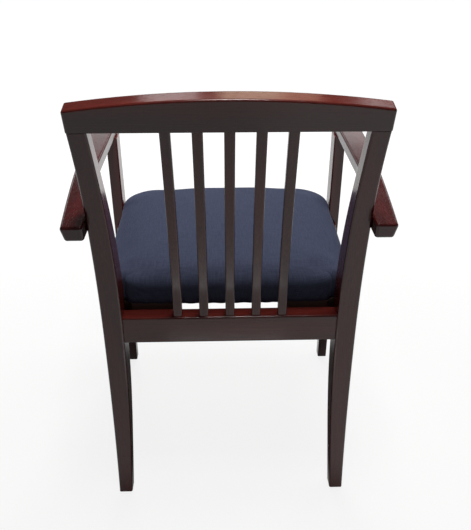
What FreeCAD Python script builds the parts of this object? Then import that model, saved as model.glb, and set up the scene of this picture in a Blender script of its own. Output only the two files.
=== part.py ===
import FreeCAD
import Part
import math
import os

# A wooden visitor armchair, in millimetres. X runs to the sitter's left, Y to the back, Z up.
# Y = 0 is the rear posts' back edge at its waist until the whole chair is centred at the end.
Vector = FreeCAD.Vector
ACROSS = Vector(1, 0, 0)
BACKWARD = Vector(0, 1, 0)
UPWARD = Vector(0, 0, 1)

# Foot glides: a nylon disc under each leg, held by one nail
GLIDE_RADIUS = 9.0
GLIDE_HEIGHT = 4.0
GLIDE_ROUNDING = 1.0
NAIL_RADIUS = 1.2
NAIL_HEAD_RADIUS = 3.0
NAIL_HEAD_HEIGHT = 1.0
NAIL_HEAD_RECESS = 0.6
NAIL_BITE = 15.0

# Rear posts: each is one sawn piece, upright at its waist and leaning back above and below it
POST_TOP_Z = 782.0
POST_WAIST_Z = 390.0
POST_SETBACK = 60.0
BACK_LEAN = 16.0
POST_FOOT_KICK = 28.0
POST_FOOT_LEAN = 9.0
POST_OUTER_X = 236.5
POST_TOP_FLARE = 5.0
POST_FLARE_LEAN = 2.5
POST_WIDTH = 37.5
POST_TOP_WIDTH = 29.5
POST_TAPER_LEAN = 4.0
POST_FOOT_WIDTH = 27.0
POST_DEPTH = 48.0
POST_FOOT_DEPTH = 28.0
POST_ROUNDING = 3.5

# Crest rail: a leaning board on the post tops, bowed along its top edge
CREST_THICKNESS = 29.0
CREST_MIDDLE_HEIGHT = 53.0
CREST_END_HEIGHT = 36.0
CREST_ROUNDING = 4.0
CREST_UNDERSIDE_ROUNDING = 1.5

# Seat frame: the front rail and the blocks carry the pad, and the other rails lie a little lower
SEAT_FRAME_TOP = 430.0
SEAT_RAIL_HEIGHT = 60.0
FRONT_RAIL_THICKNESS = 20.0
SIDE_RAIL_THICKNESS = 18.0
SIDE_RAIL_SPAN = 385.0
LOW_RAIL_DROP = 12.0
REAR_RAIL_HEIGHT = 56.0
REAR_RAIL_THICKNESS = 33.0
REAR_RAIL_INSET = 6.0
REAR_RAIL_ROUNDING = 4.0
SEAT_RAIL_ROUNDING = 2.0
FLAT_MARGIN = 10.0

# Back slats: upright slips tenoned into the rear rail and the crest rail
SLAT_COUNT = 5
SLAT_PITCH = 48.5
SLAT_WIDTH = 17.0
SLAT_THICKNESS = 13.0
SLAT_INSET = 4.0
SLAT_STUB = 34.0
SLAT_BEND = 30.0
SLAT_BEND_LEAN = 7.0
SLAT_ROUNDING = 2.5
TENON_WIDTH = 11.0
TENON_THICKNESS = 7.0
TENON_LENGTH = 15.0
TENON_CLEARANCE = 0.15

# Front legs: they run past the seat up to the arms
LEG_INNER_X = 252.5
LEG_WIDTH = 26.0
LEG_FOOT_WIDTH = 23.0
LEG_DEPTH = 44.0
LEG_FOOT_DEPTH = 27.0
LEG_FOOT_LEAN = 2.0
LEG_ROUNDING = 3.0

# Arms: flat boards on the front legs, rising to the front and screwed to the rear posts' sides
ARM_REAR_TOP_Z = 627.5
ARM_SLOPE = 3.8
ARM_THICKNESS = 26.0
ARM_REAR_WIDTH = 38.5
ARM_FRONT_WIDTH = 54.0
ARM_INSIDE_SETBACK = 4.5
ARM_REAR_OVERHANG = 29.0
ARM_FRONT_OVERHANG = 10.0
ARM_EASE_START = 6.0
ARM_EASE_LENGTH = 185.0
ARM_REAR_SPREAD = 6.5
ARM_UNDERCUT = 7.0
ARM_FRONT_CORNER = 20.0
ARM_REAR_CORNER = 6.0
ARM_ROUNDING = 5.0

# Corner blocks inside the seat frame
BLOCK_HEIGHT = 42.0
BLOCK_RELIEF = 14.0
BLOCK_SIDE_LENGTH = 65.0
FRONT_BLOCK_LENGTH = 65.0
REAR_BLOCK_LENGTH = 80.0

# Seat pad: a board and foam in a fabric cover, notched round the rear posts
PAD_HEIGHT = 60.0
PAD_SIDE_GAP = 2.5
PAD_REAR_TAPER = 12.0
PAD_SLAT_GAP = 10.0
PAD_FRONT_OVERHANG = 44.0
PAD_FRONT_CORNER = 68.0
PAD_REAR_CORNER = 20.0
PAD_FRONT_SWEEP = 7.0
PAD_POST_GAP = 5.0
PAD_TUCK = 8.0
PAD_TUCK_HEIGHT = 14.0
PAD_SHOULDER = 36.0
PAD_SHOULDER_HEIGHT = 25.0
PAD_CROWN = 6.0
PAD_CROWN_SHARE = 0.2
COVER_THICKNESS = 1.6
BOARD_THICKNESS = 12.0
BOARD_SHARE = 0.945
FLANGE_SHARE = 0.8
DUST_COVER_THICKNESS = 0.8
DUST_COVER_GAP = 0.004

# Staples that hold the cover's turned-under edge to the board
STAPLE_COUNT = 34
STAPLE_SHARE = 0.87
STAPLE_CROWN = 10.0
STAPLE_WIRE = 0.7
STAPLE_WIDTH = 1.2
STAPLE_LEG = 7.0

# Dowels, one size throughout, with the length that goes into each kind of joint
DOWEL_RADIUS = 4.0
DOWEL_CHAMFER = 0.8
DOWEL_CLEARANCE = 0.1
DOWEL_END_GAP = 0.8
CREST_DOWEL_REACH = 24.0
RAIL_DOWEL_REACH = 22.0
POST_DOWEL_REACH = 14.0
ARM_DOWEL_REACH = 14.0
CREST_DOWEL_SPACING = 14.0
REAR_DOWEL_SPACING = 26.0
REAR_DOWEL_INSET = 13.0
SIDE_DOWEL_SPACING = 20.0
FRONT_DOWEL_SPACING = 40.0
ARM_DOWEL_SPACING = 18.0

# Screws, and the plugs that hide those in the posts
SCREW_RADIUS = 2.2
SCREW_HEAD_RADIUS = 4.2
SCREW_HEAD_HEIGHT = 2.8
SCREW_CLEARANCE = 0.2
ARM_SCREW_BITE = 22.0
BLOCK_SCREW_GRIP = 18.0
BLOCK_SCREW_BITE = 13.0
BLOCK_SCREW_DROP = 14.0
SEAT_SCREW_BITE = 9.0
SEAT_SCREW_INSET = 14.0
PLUG_LENGTH = 5.0

# Planes and middles that several pieces share
POST_INNER_X = POST_OUTER_X - POST_WIDTH
POST_MIDDLE_X = POST_OUTER_X - POST_WIDTH / 2
LEG_MIDDLE_X = LEG_INNER_X + LEG_WIDTH / 2
LEG_BACK_Y = -POST_DEPTH - SIDE_RAIL_SPAN
LEG_FRONT_Y = LEG_BACK_Y - LEG_DEPTH
SEAT_RAIL_BOTTOM = SEAT_FRAME_TOP - SEAT_RAIL_HEIGHT
LOW_RAIL_TOP = SEAT_FRAME_TOP - LOW_RAIL_DROP
REAR_RAIL_BOTTOM = LOW_RAIL_TOP - REAR_RAIL_HEIGHT
SIDE_RAIL_HEIGHT = LOW_RAIL_TOP - SEAT_RAIL_BOTTOM
SIDE_RAIL_FRONT_X = LEG_INNER_X + SIDE_RAIL_THICKNESS / 2
FLAT_TOP_Z = SEAT_FRAME_TOP + FLAT_MARGIN
FLAT_BOTTOM_Z = min(SEAT_RAIL_BOTTOM, REAR_RAIL_BOTTOM) - FLAT_MARGIN
FRONT_RAIL_BACK_Y = LEG_BACK_Y - (LEG_DEPTH - FRONT_RAIL_THICKNESS) / 2
REAR_RAIL_FRONT_Y = -REAR_RAIL_INSET - REAR_RAIL_THICKNESS
CREST_SEAT = Vector(0, POST_SETBACK, POST_TOP_Z)
CREST_HALF_WIDTH = POST_OUTER_X + POST_TOP_FLARE
SLAT_BACK_Y = -REAR_RAIL_INSET - SLAT_INSET
CREST_SLAT_INSET = (CREST_THICKNESS - SLAT_THICKNESS) / 2
PAD_REAR_Y = SLAT_BACK_Y - SLAT_THICKNESS - PAD_SLAT_GAP
PAD_FRONT_Y = LEG_FRONT_Y - PAD_FRONT_OVERHANG
PAD_MIDDLE_Y = (PAD_REAR_Y + PAD_FRONT_Y) / 2
PAD_HALF_WIDTH = LEG_INNER_X - PAD_SIDE_GAP
BOARD_BOTTOM = SEAT_FRAME_TOP + COVER_THICKNESS


def lean(degrees):
    """Direction in the side view, leaning back from upright."""
    angle = math.radians(degrees)
    return Vector(0, math.sin(angle), math.cos(angle))


def spread(degrees):
    """Direction in the back view, leaning outwards from upright."""
    angle = math.radians(degrees)
    return Vector(math.sin(angle), 0, math.cos(angle))


def line(start, end):
    return Part.makeLine(start, end)


def eased_edge(start, start_way, end, end_way):
    """Smooth curve that leaves start along one direction and arrives at end along another."""
    reach = start.distanceToPoint(end) / 3
    curve = Part.BezierCurve()
    curve.setPoles([start, start + start_way * reach, end - end_way * reach, end])
    return curve.toShape()


def prism(edges, along):
    """Solid swept from a closed flat outline."""
    return Part.Face(Part.Wire(edges)).extrude(along)


def block(low, high):
    """Box between two opposite corners."""
    size = high - low
    return Part.makeBox(size.x, size.y, size.z, low)


def rod(start, end, radius):
    return Part.makeCylinder(radius, start.distanceToPoint(end), start, end - start)


def rounded(shape, radius, chosen):
    """Round the edges that the test picks."""
    return shape.makeFillet(radius, [edge for edge in shape.Edges if chosen(edge)])


def stands(edge):
    """True for an edge that runs up more than along."""
    box = edge.BoundBox
    return box.ZLength > max(box.XLength, box.YLength)


def mirrored(shape):
    return shape.mirror(Vector(), ACROSS)


def opposite(point):
    return Vector(-point.x, point.y, point.z)


def both_sides(axes):
    """Each pair of end points, with its mirror image."""
    return axes + [(opposite(start), opposite(end)) for start, end in axes]


def leaned(shape, degrees, place):
    """Tip a piece drawn at the origin backwards, then carry it to its place."""
    moved = shape.copy()
    moved.rotate(Vector(), ACROSS, -degrees)
    moved.translate(place)
    return moved


def leaned_point(point, degrees, place):
    return FreeCAD.Rotation(ACROSS, -degrees).multVec(point) + place


def dowel_pin(start, end):
    pin = rod(start, end, DOWEL_RADIUS)
    rims = [edge for edge in pin.Edges if edge.Closed and edge.Curve.TypeId == "Part::GeomCircle"]
    return pin.makeChamfer(DOWEL_CHAMFER, rims)


def dowel_pins(axes):
    return Part.makeCompound([dowel_pin(start, end) for start, end in axes])


def bored(shape, axes):
    """Drill a hole for each dowel, with room for glue at its ends."""
    holes = []
    for start, end in axes:
        spare = (end - start).normalize() * DOWEL_END_GAP
        holes.append(rod(start - spare, end + spare, DOWEL_RADIUS + DOWEL_CLEARANCE))
    return shape.cut(holes)


def screw(seat, tip):
    """Round-headed screw whose head bears at seat and whose shank ends at tip."""
    way = (tip - seat).normalize()
    head = rod(seat - way * SCREW_HEAD_HEIGHT, seat, SCREW_HEAD_RADIUS)
    return rod(seat, tip, SCREW_RADIUS).fuse(head)


def screw_hole(seat, tip, head_room):
    """Clearance for a screw, and for its head to come in over the length head_room."""
    way = (tip - seat).normalize()
    shank = rod(seat, tip + way * SCREW_CLEARANCE, SCREW_RADIUS + SCREW_CLEARANCE)
    if head_room == 0:
        return shank
    return shank.fuse(rod(seat - way * head_room, seat, SCREW_HEAD_RADIUS + SCREW_CLEARANCE))


def post_blank():
    """The left post's sawn shape: its side view cut through by its back view."""
    foot_back = Vector(0, POST_FOOT_KICK, GLIDE_HEIGHT)
    foot_front = foot_back - BACKWARD * POST_FOOT_DEPTH
    waist = Vector(0, 0, POST_WAIST_Z)
    flat_low = Vector(0, -POST_DEPTH, FLAT_BOTTOM_Z)
    flat_high = Vector(0, -POST_DEPTH, FLAT_TOP_Z)
    top_front = leaned_point(Vector(0, -CREST_THICKNESS, 0), BACK_LEAN, CREST_SEAT)
    side_view = [
        eased_edge(foot_back, lean(-POST_FOOT_LEAN), waist, lean(0)),
        eased_edge(waist, lean(0), CREST_SEAT, lean(BACK_LEAN)),
        line(CREST_SEAT, top_front),
        eased_edge(flat_high, lean(0), top_front, lean(BACK_LEAN)),
        line(flat_high, flat_low),
        eased_edge(foot_front, lean(-POST_FOOT_LEAN), flat_low, lean(0)),
        line(foot_front, foot_back),
    ]
    over_top = POST_TOP_Z + CREST_THICKNESS
    outer_foot = Vector(POST_OUTER_X, 0, GLIDE_HEIGHT)
    outer_bend = Vector(POST_OUTER_X, 0, ARM_REAR_TOP_Z + ARM_THICKNESS)
    outer_top = Vector(CREST_HALF_WIDTH, 0, over_top)
    inner_foot = outer_foot - ACROSS * POST_FOOT_WIDTH
    inner_low = Vector(POST_INNER_X, 0, FLAT_BOTTOM_Z)
    inner_high = Vector(POST_INNER_X, 0, FLAT_TOP_Z)
    inner_top = outer_top - ACROSS * POST_TOP_WIDTH
    back_view = [
        line(outer_foot, outer_bend),
        eased_edge(outer_bend, spread(0), outer_top, spread(POST_FLARE_LEAN)),
        line(outer_top, inner_top),
        eased_edge(inner_high, spread(0), inner_top, spread(POST_TAPER_LEAN)),
        line(inner_high, inner_low),
        eased_edge(inner_foot, spread(-POST_FLARE_LEAN), inner_low, spread(0)),
        line(inner_foot, outer_foot),
    ]
    side = prism(side_view, ACROSS * CREST_HALF_WIDTH)
    depth = BACKWARD * (POST_DEPTH + POST_SETBACK + POST_FOOT_KICK)
    back = prism(back_view, depth)
    back.translate(BACKWARD * -POST_DEPTH)
    return side.common(back).Solids[0]


POST = post_blank()


def post_section(z):
    """Bounds of the left post's cross-section at one height."""
    return Part.makeCompound(POST.slice(UPWARD, z)).optimalBoundingBox(False, False)


ARM_POST = post_section(ARM_REAR_TOP_Z - ARM_THICKNESS / 2)
ARM_SEAT = Vector(0, ARM_POST.YMax + ARM_REAR_OVERHANG, ARM_REAR_TOP_Z)
ARM_FRONT_INNER_X = LEG_INNER_X + ARM_INSIDE_SETBACK
ARM_DOWEL_X = (ARM_FRONT_INNER_X + LEG_INNER_X + LEG_WIDTH) / 2
ARM_LENGTH = (ARM_SEAT.y - LEG_FRONT_Y + ARM_FRONT_OVERHANG) / math.cos(math.radians(ARM_SLOPE))


def arm_level(y, depth):
    """Height at y of the plane that lies depth below the arm's top."""
    slope = math.radians(ARM_SLOPE)
    return ARM_SEAT.z + (ARM_SEAT.y - y) * math.tan(slope) - depth / math.cos(slope)


def side_rail_middle(y):
    """X of the left side rail's middle line."""
    share = (-POST_DEPTH - y) / SIDE_RAIL_SPAN
    return POST_MIDDLE_X + share * (SIDE_RAIL_FRONT_X - POST_MIDDLE_X)


def crest_dowel_axes():
    """Two dowels up through the left post's top, along the back's lean."""
    top = post_section(POST_TOP_Z)
    axes = []
    for side in (-0.5, 0.5):
        middle = Vector(top.Center.x + side * CREST_DOWEL_SPACING, -CREST_THICKNESS / 2, 0)
        ends = [middle + UPWARD * reach for reach in (-CREST_DOWEL_REACH, CREST_DOWEL_REACH)]
        axes.append(tuple(leaned_point(end, BACK_LEAN, CREST_SEAT) for end in ends))
    return axes


def rear_rail_dowel_axes():
    """Two dowels from the rear rail's end into the left post's inner face."""
    y = -REAR_RAIL_INSET - REAR_DOWEL_INSET
    middle_z = (LOW_RAIL_TOP + REAR_RAIL_BOTTOM) / 2
    axes = []
    for side in (-0.5, 0.5):
        centre = Vector(POST_INNER_X, y, middle_z + side * REAR_DOWEL_SPACING)
        axes.append((centre - ACROSS * RAIL_DOWEL_REACH, centre + ACROSS * POST_DOWEL_REACH))
    return axes


def side_rail_dowel_axes():
    """Two dowels at each end of the left side rail."""
    middle_z = (LOW_RAIL_TOP + SEAT_RAIL_BOTTOM) / 2
    axes = []
    for side in (-0.5, 0.5):
        z = middle_z + side * SIDE_DOWEL_SPACING
        rear = Vector(POST_MIDDLE_X, -POST_DEPTH, z)
        front = Vector(SIDE_RAIL_FRONT_X, LEG_BACK_Y, z)
        axes.append((rear - BACKWARD * RAIL_DOWEL_REACH, rear + BACKWARD * POST_DOWEL_REACH))
        axes.append((front + BACKWARD * RAIL_DOWEL_REACH, front - BACKWARD * POST_DOWEL_REACH))
    return axes


def front_rail_dowel_axes():
    """Two dowels from the front rail's end into the left leg, above and below the side rail's."""
    middle = Vector(LEG_INNER_X, LEG_BACK_Y - LEG_DEPTH / 2, SEAT_FRAME_TOP - SEAT_RAIL_HEIGHT / 2)
    axes = []
    for side in (-0.5, 0.5):
        centre = middle + UPWARD * side * FRONT_DOWEL_SPACING
        axes.append((centre - ACROSS * RAIL_DOWEL_REACH, centre + ACROSS * POST_DOWEL_REACH))
    return axes


def arm_dowel_axes():
    """Two dowels from the left leg's top up into the arm."""
    upright = lean(ARM_SLOPE)
    middle_y = LEG_BACK_Y - LEG_DEPTH / 2
    axes = []
    for side in (-0.5, 0.5):
        y = middle_y + side * ARM_DOWEL_SPACING
        centre = Vector(ARM_DOWEL_X, y, arm_level(y, ARM_THICKNESS))
        axes.append((centre - upright * RAIL_DOWEL_REACH, centre + upright * ARM_DOWEL_REACH))
    return axes


def arm_screw_ends():
    """Head seat and tip of the screw from the left post's inner face into the arm."""
    y = ARM_POST.Center.y
    z = arm_level(y, ARM_THICKNESS / 2)
    seat = Vector(ARM_POST.XMin + PLUG_LENGTH + SCREW_HEAD_HEIGHT, y, z)
    return seat, Vector(POST_OUTER_X + ARM_SCREW_BITE, y, z)


def arm_screw_plug():
    """Wooden plug over the arm screw's head, cut flush with the post."""
    seat = arm_screw_ends()[0]
    head_top = seat - ACROSS * SCREW_HEAD_HEIGHT
    return rod(head_top - ACROSS * POST_WIDTH, head_top, SCREW_HEAD_RADIUS).common(POST).Solids[0]


def nail_hole(x, y):
    """Hole up into a foot for its glide's nail."""
    foot = Vector(x, y, GLIDE_HEIGHT)
    return rod(foot, foot + UPWARD * (NAIL_BITE + SCREW_CLEARANCE), NAIL_RADIUS)


REAR_FOOT = (POST_OUTER_X - POST_FOOT_WIDTH / 2, POST_FOOT_KICK - POST_FOOT_DEPTH / 2)
FRONT_FOOT = (LEG_MIDDLE_X, LEG_BACK_Y - LEG_FOOT_DEPTH / 2)


def rear_post():
    post = rounded(POST, POST_ROUNDING, stands)
    post = bored(post, crest_dowel_axes() + rear_rail_dowel_axes() + side_rail_dowel_axes())
    seat, tip = arm_screw_ends()
    return post.cut([screw_hole(seat, tip, POST_WIDTH), nail_hole(*REAR_FOOT)])


def crest_rail():
    """Drawn upright with its back lower edge at the origin, then leaned onto the posts."""
    low_left = Vector(CREST_HALF_WIDTH, 0, 0)
    high_left = Vector(CREST_HALF_WIDTH, 0, CREST_END_HEIGHT)
    crown = Vector(0, 0, CREST_MIDDLE_HEIGHT)
    back_view = [
        line(opposite(low_left), low_left),
        line(low_left, high_left),
        Part.Arc(high_left, crown, opposite(high_left)).toShape(),
        line(opposite(high_left), opposite(low_left)),
    ]
    crest = prism(back_view, BACKWARD * -CREST_THICKNESS)
    low = CREST_UNDERSIDE_ROUNDING
    crest = rounded(crest, CREST_ROUNDING, lambda edge: edge.BoundBox.ZMax > low)
    crest = rounded(crest, CREST_UNDERSIDE_ROUNDING, lambda edge: edge.BoundBox.ZMax < low)
    for place in slat_places():
        crest = crest.cut(tenon(TENON_CLEARANCE, place, -CREST_THICKNESS / 2, 1))
    crest = leaned(crest, BACK_LEAN, CREST_SEAT)
    return bored(crest, both_sides(crest_dowel_axes()))


def slat_places():
    """X of each slat's middle, from the right to the left."""
    return [(number - (SLAT_COUNT - 1) / 2) * SLAT_PITCH for number in range(SLAT_COUNT)]


def tenon(clearance, x, y, way):
    """Stub drawn up from z = 0 (way 1) or down from it (way -1), and its mortise with clearance."""
    half = Vector(TENON_WIDTH / 2 + clearance, TENON_THICKNESS / 2 + clearance, 0)
    depth = TENON_LENGTH + clearance
    low = Vector(x, y, min(0, way * depth)) - half
    return block(low, low + half * 2 + UPWARD * depth)


def slat_edges(base, top):
    """One face of a slat in the side view: upright above the rail, bent back, then easing to the top."""
    stub = base + UPWARD * SLAT_STUB
    bend = stub + lean(SLAT_BEND_LEAN / 2) * SLAT_BEND
    return [
        line(base, stub),
        eased_edge(stub, lean(0), bend, lean(SLAT_BEND_LEAN)),
        eased_edge(bend, lean(SLAT_BEND_LEAN), top, lean(BACK_LEAN)),
    ]


def back_slat(x):
    base_back = Vector(x, SLAT_BACK_Y, LOW_RAIL_TOP)
    base_front = base_back - BACKWARD * SLAT_THICKNESS
    top_back = leaned_point(Vector(x, -CREST_SLAT_INSET, 0), BACK_LEAN, CREST_SEAT)
    top_front = leaned_point(Vector(x, -CREST_SLAT_INSET - SLAT_THICKNESS, 0), BACK_LEAN, CREST_SEAT)
    back, front = slat_edges(base_back, top_back), slat_edges(base_front, top_front)
    outline = back + [line(top_back, top_front)] + front[::-1] + [line(base_front, base_back)]
    slat = prism(outline, ACROSS * SLAT_WIDTH)
    slat.translate(ACROSS * -SLAT_WIDTH / 2)
    slat = rounded(slat, SLAT_ROUNDING, stands)
    lower = tenon(0, x, SLAT_BACK_Y - SLAT_THICKNESS / 2, -1)
    lower.translate(UPWARD * LOW_RAIL_TOP)
    upper = leaned(tenon(0, x, -CREST_THICKNESS / 2, 1), BACK_LEAN, CREST_SEAT)
    return slat.fuse([lower, upper]).removeSplitter().Solids[0]


def rear_seat_rail():
    low = Vector(-POST_INNER_X, REAR_RAIL_FRONT_Y, REAR_RAIL_BOTTOM)
    rail = block(low, Vector(POST_INNER_X, -REAR_RAIL_INSET, LOW_RAIL_TOP))
    rail = rounded(rail, REAR_RAIL_ROUNDING, lambda edge: edge.BoundBox.XLength > POST_INNER_X)
    for place in slat_places():
        mortise = tenon(TENON_CLEARANCE, place, SLAT_BACK_Y - SLAT_THICKNESS / 2, -1)
        mortise.translate(UPWARD * LOW_RAIL_TOP)
        rail = rail.cut(mortise)
    hole = screw_hole(*rear_block_screws()[0], 0)
    return bored(rail.cut([hole, mirrored(hole)]), both_sides(rear_rail_dowel_axes()))


def front_seat_rail():
    low = Vector(-LEG_INNER_X, FRONT_RAIL_BACK_Y - FRONT_RAIL_THICKNESS, SEAT_RAIL_BOTTOM)
    rail = block(low, Vector(LEG_INNER_X, FRONT_RAIL_BACK_Y, SEAT_FRAME_TOP))
    rail = rounded(rail, SEAT_RAIL_ROUNDING, lambda edge: edge.BoundBox.XLength > LEG_INNER_X)
    hole = screw_hole(*front_block_screws()[0], 0)
    return bored(rail.cut([hole, mirrored(hole)]), both_sides(front_rail_dowel_axes()))


def side_seat_rail():
    """Left side rail, from the post's front face to the leg's back face."""
    half = ACROSS * SIDE_RAIL_THICKNESS / 2
    rear = Vector(POST_MIDDLE_X, -POST_DEPTH, SEAT_RAIL_BOTTOM)
    front = Vector(SIDE_RAIL_FRONT_X, LEG_BACK_Y, SEAT_RAIL_BOTTOM)
    plan = Part.makePolygon([rear - half, rear + half, front + half, front - half, rear - half])
    rail = prism(plan.Edges, UPWARD * SIDE_RAIL_HEIGHT)
    rail = rounded(rail, SEAT_RAIL_ROUNDING, lambda edge: edge.BoundBox.YLength > SIDE_RAIL_SPAN / 2)
    side_screws = (rear_block_screws()[1], front_block_screws()[1])
    holes = [screw_hole(seat, tip, 0) for seat, tip in side_screws]
    return bored(rail.cut(holes), side_rail_dowel_axes())


def front_leg():
    """Left front leg: upright behind, tapering from the seat frame to the foot in front."""
    foot_back = Vector(0, LEG_BACK_Y, GLIDE_HEIGHT)
    foot_front = foot_back - BACKWARD * LEG_FOOT_DEPTH
    bend = Vector(0, LEG_FRONT_Y, FLAT_BOTTOM_Z)
    top_back = Vector(0, LEG_BACK_Y, arm_level(LEG_BACK_Y, ARM_THICKNESS))
    top_front = Vector(0, LEG_FRONT_Y, arm_level(LEG_FRONT_Y, ARM_THICKNESS))
    side_view = [
        line(foot_back, top_back),
        line(top_back, top_front),
        line(top_front, bend),
        eased_edge(foot_front, lean(-LEG_FOOT_LEAN), bend, lean(0)),
        line(foot_front, foot_back),
    ]
    half = ACROSS * LEG_WIDTH / 2
    foot_half = ACROSS * LEG_FOOT_WIDTH / 2
    foot = Vector(LEG_MIDDLE_X, 0, GLIDE_HEIGHT)
    knee = Vector(LEG_MIDDLE_X, 0, FLAT_BOTTOM_Z)
    top = Vector(LEG_MIDDLE_X, 0, ARM_SEAT.z + ARM_LENGTH)
    corners = [foot + foot_half, knee + half, top + half, top - half, knee - half, foot - foot_half]
    back_view = Part.makePolygon(corners + corners[:1])
    side = prism(side_view, ACROSS * (LEG_INNER_X + LEG_WIDTH))
    back = prism(back_view.Edges, BACKWARD * (LEG_FRONT_Y - LEG_DEPTH))
    leg = rounded(side.common(back).Solids[0], LEG_ROUNDING, stands)
    leg = bored(leg, front_rail_dowel_axes() + arm_dowel_axes() + side_rail_dowel_axes())
    return leg.cut(nail_hole(*FRONT_FOOT))


def arm_outline(depth, undercut):
    """Plan of the left arm at a depth below its top, with its outer edge drawn in by the undercut."""
    forward = Vector(0, -1, 0)
    along_post = ARM_SEAT.y - ARM_POST.YMin + ARM_EASE_START
    rear_inner = Vector(POST_OUTER_X, 0, -depth)
    rear_outer = rear_inner + ACROSS * (ARM_REAR_WIDTH - undercut)
    ease = rear_inner + forward * along_post
    eased = Vector(ARM_FRONT_INNER_X, ease.y - ARM_EASE_LENGTH, -depth)
    front_inner = Vector(ARM_FRONT_INNER_X, -ARM_LENGTH, -depth)
    front_outer = front_inner + ACROSS * (ARM_FRONT_WIDTH - undercut)
    angle = math.radians(ARM_REAR_SPREAD)
    return Part.Wire([
        line(rear_inner, ease),
        eased_edge(ease, forward, eased, forward),
        line(eased, front_inner),
        line(front_inner, front_outer),
        eased_edge(rear_outer, Vector(math.sin(angle), -math.cos(angle), 0), front_outer, forward),
        line(rear_outer, rear_inner),
    ])


def armrest():
    """Left arm, drawn flat with its rear end at y = 0 and its top at z = 0, then tipped up forward."""
    outlines = [arm_outline(0, 0), arm_outline(ARM_THICKNESS, ARM_UNDERCUT)]
    arm = Part.makeLoft(outlines, True, True)
    ahead = -ARM_LENGTH / 2
    arm = rounded(arm, ARM_FRONT_CORNER, lambda edge: stands(edge) and edge.BoundBox.YMax < ahead)
    arm = rounded(arm, ARM_REAR_CORNER, lambda edge: stands(edge) and edge.BoundBox.YMax > -ARM_REAR_CORNER)
    arm = rounded(arm, ARM_ROUNDING, lambda edge: not stands(edge))
    arm = leaned(arm, ARM_SLOPE, ARM_SEAT)
    seat, tip = arm_screw_ends()
    return bored(arm, arm_dowel_axes()).cut(screw_hole(seat, tip, 0))


def block_corners(rail_y, corner_x, corner_y, length, inward):
    """Plan of a left corner block: along the cross rail, past the leg's corner, along the side rail."""
    near = corner_y + inward * BLOCK_RELIEF
    far = near + inward * BLOCK_SIDE_LENGTH
    half = SIDE_RAIL_THICKNESS / 2
    return [
        Vector(corner_x - BLOCK_RELIEF - length, rail_y, 0),
        Vector(corner_x - BLOCK_RELIEF, rail_y, 0),
        Vector(side_rail_middle(near) - half, near, 0),
        Vector(side_rail_middle(far) - half, far, 0),
    ]


def front_block_corners():
    return block_corners(FRONT_RAIL_BACK_Y, LEG_INNER_X, LEG_BACK_Y, FRONT_BLOCK_LENGTH, 1)


def rear_block_corners():
    return block_corners(REAR_RAIL_FRONT_Y, POST_INNER_X, -POST_DEPTH, REAR_BLOCK_LENGTH, -1)


def block_screws(corners, inward):
    """Head seat and tip of the screw into the cross rail, then of the one into the side rail."""
    middle_z = UPWARD * (LOW_RAIL_TOP - BLOCK_SCREW_DROP)
    on_rail = (corners[0] + corners[1]) * 0.5 + middle_z
    on_side = (corners[2] + corners[3]) * 0.5 + middle_z
    inside = BACKWARD * inward
    return [
        (on_rail + inside * BLOCK_SCREW_GRIP, on_rail - inside * BLOCK_SCREW_BITE),
        (on_side - ACROSS * BLOCK_SCREW_GRIP, on_side + ACROSS * BLOCK_SCREW_BITE),
    ]


def front_block_screws():
    return block_screws(front_block_corners(), 1)


def rear_block_screws():
    return block_screws(rear_block_corners(), -1)


def seat_screw_ends(corners):
    """Head seat under the block, a little in from its long slanting face, and tip in the seat board."""
    slant_middle = (corners[0] + corners[3]) * 0.5
    corner_middle = (corners[1] + corners[2]) * 0.5
    place = slant_middle + (corner_middle - slant_middle).normalize() * SEAT_SCREW_INSET
    seat = place + UPWARD * (SEAT_FRAME_TOP - BLOCK_HEIGHT)
    return seat, place + UPWARD * (BOARD_BOTTOM + SEAT_SCREW_BITE)


def corner_block(corners, screws):
    low = UPWARD * (SEAT_FRAME_TOP - BLOCK_HEIGHT)
    plan = Part.makePolygon([corner + low for corner in corners + corners[:1]])
    piece = prism(plan.Edges, UPWARD * BLOCK_HEIGHT)
    holes = [screw_hole(seat, tip, REAR_BLOCK_LENGTH) for seat, tip in screws]
    return piece.cut(holes + [screw_hole(*seat_screw_ends(corners), 0)])


def pad_wire(share, z):
    """Pad outline at height z, shrunk about its middle: tapering sides and a swept front between arcs."""
    sweep = math.radians(PAD_FRONT_SWEEP)
    side, front_r, rear_r = PAD_HALF_WIDTH, PAD_FRONT_CORNER, PAD_REAR_CORNER
    rear_side = side - PAD_REAR_TAPER
    front_x = side - front_r + front_r * math.sin(sweep)
    bow = front_x * math.tan(sweep / 2)
    corner_y = PAD_FRONT_Y + bow + front_r * math.cos(sweep)
    half_turn = (math.pi / 2 - sweep) / 2
    diagonal = math.sqrt(0.5)

    def at(x, y):
        return Vector(x * share, PAD_MIDDLE_Y + (y - PAD_MIDDLE_Y) * share, z)

    def corner(x_sign):
        """End, middle and start of the front corner's arc, from the side to the front."""
        middle_x = side - front_r + front_r * math.cos(half_turn)
        middle_y = corner_y - front_r * math.sin(half_turn)
        ends = ((side, corner_y), (middle_x, middle_y), (front_x, corner_y - front_r * math.cos(sweep)))
        return [at(x_sign * x, y) for x, y in ends]

    def rear_corner(x_sign):
        inset = rear_r * (1 - diagonal)
        middle = (rear_side - inset, PAD_REAR_Y - inset)
        ends = ((rear_side - rear_r, PAD_REAR_Y), middle, (rear_side, PAD_REAR_Y - rear_r))
        return [at(x_sign * x, y) for x, y in ends]

    left, right = corner(1), corner(-1)
    rear_left, rear_right = rear_corner(1), rear_corner(-1)
    return Part.Wire([
        line(rear_right[0], rear_left[0]),
        Part.Arc(*rear_left).toShape(),
        line(rear_left[2], left[0]),
        Part.Arc(*left).toShape(),
        Part.Arc(left[2], at(0, PAD_FRONT_Y), right[2]).toShape(),
        Part.Arc(*reversed(right)).toShape(),
        line(right[0], rear_right[2]),
        Part.Arc(*reversed(rear_right)).toShape(),
    ])


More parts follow.
